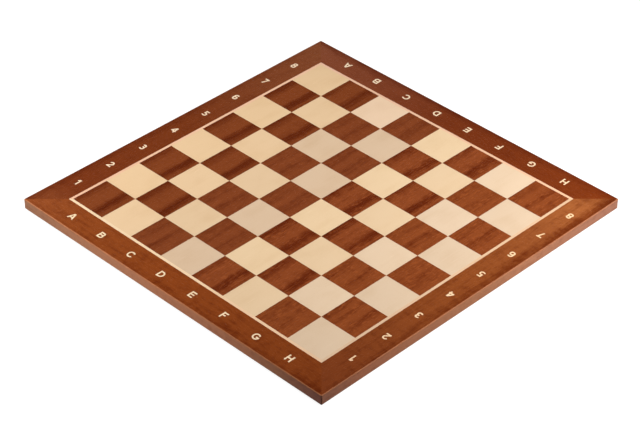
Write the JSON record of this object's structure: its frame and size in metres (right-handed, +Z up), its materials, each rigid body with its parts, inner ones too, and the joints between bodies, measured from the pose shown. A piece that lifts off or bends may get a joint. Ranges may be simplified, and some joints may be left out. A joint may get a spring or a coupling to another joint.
{
  "type": "chess board",
  "caption": "Square veneered wooden chess board: a chequered field inside a thin pale line, a mitred border with letters and digits, edge strips, and felt pads underneath.",
  "frame": {"origin": "middle of the board in plan, on the surface that its felt pads stand on", "axes": "+X from file A to file H, +Y from rank 1 to rank 8, +Z up out of the playing surface"},
  "size_m": [0.48, 0.48, 0.0152],
  "materials": {
    "mahogany_squares": "satin",
    "maple_squares": "satin",
    "maple_line": "satin",
    "maple_letters": "satin",
    "mahogany_border": "satin",
    "mahogany_edge": "satin",
    "backing_veneer": "satin",
    "fibreboard": "matt",
    "felt": "matt"
  },
  "bodies": {
    "root": {"core_panel": "fibreboard", "front_lipping": "mahogany_edge", "right_lipping": "mahogany_edge", "back_lipping": "mahogany_edge", "left_lipping": "mahogany_edge", "front_border_veneer": "mahogany_border", "right_border_veneer": "mahogany_border", "back_border_veneer": "mahogany_border", "left_border_veneer": "mahogany_border", "front_line_inlay": "maple_line", "right_line_inlay": "maple_line", "back_line_inlay": "maple_line", "left_line_inlay": "maple_line", "rank_1_dark_squares": "mahogany_squares", "rank_1_light_squares": "maple_squares", "rank_2_dark_squares": "mahogany_squares", "rank_2_light_squares": "maple_squares", "rank_3_dark_squares": "mahogany_squares", "rank_3_light_squares": "maple_squares", "rank_4_dark_squares": "mahogany_squares", "rank_4_light_squares": "maple_squares", "rank_5_dark_squares": "mahogany_squares", "rank_5_light_squares": "maple_squares", "rank_6_dark_squares": "mahogany_squares", "rank_6_light_squares": "maple_squares", "rank_7_dark_squares": "mahogany_squares", "rank_7_light_squares": "maple_squares", "rank_8_dark_squares": "mahogany_squares", "rank_8_light_squares": "maple_squares", "front_letters": "maple_letters", "right_digits": "maple_letters", "back_letters": "maple_letters", "left_digits": "maple_letters", "left_backing_leaf": "backing_veneer", "middle_backing_leaf": "backing_veneer", "right_backing_leaf": "backing_veneer", "front_left_felt_pad": "felt", "front_right_felt_pad": "felt", "back_right_felt_pad": "felt", "back_left_felt_pad": "felt"}
  },
  "joints": []
}
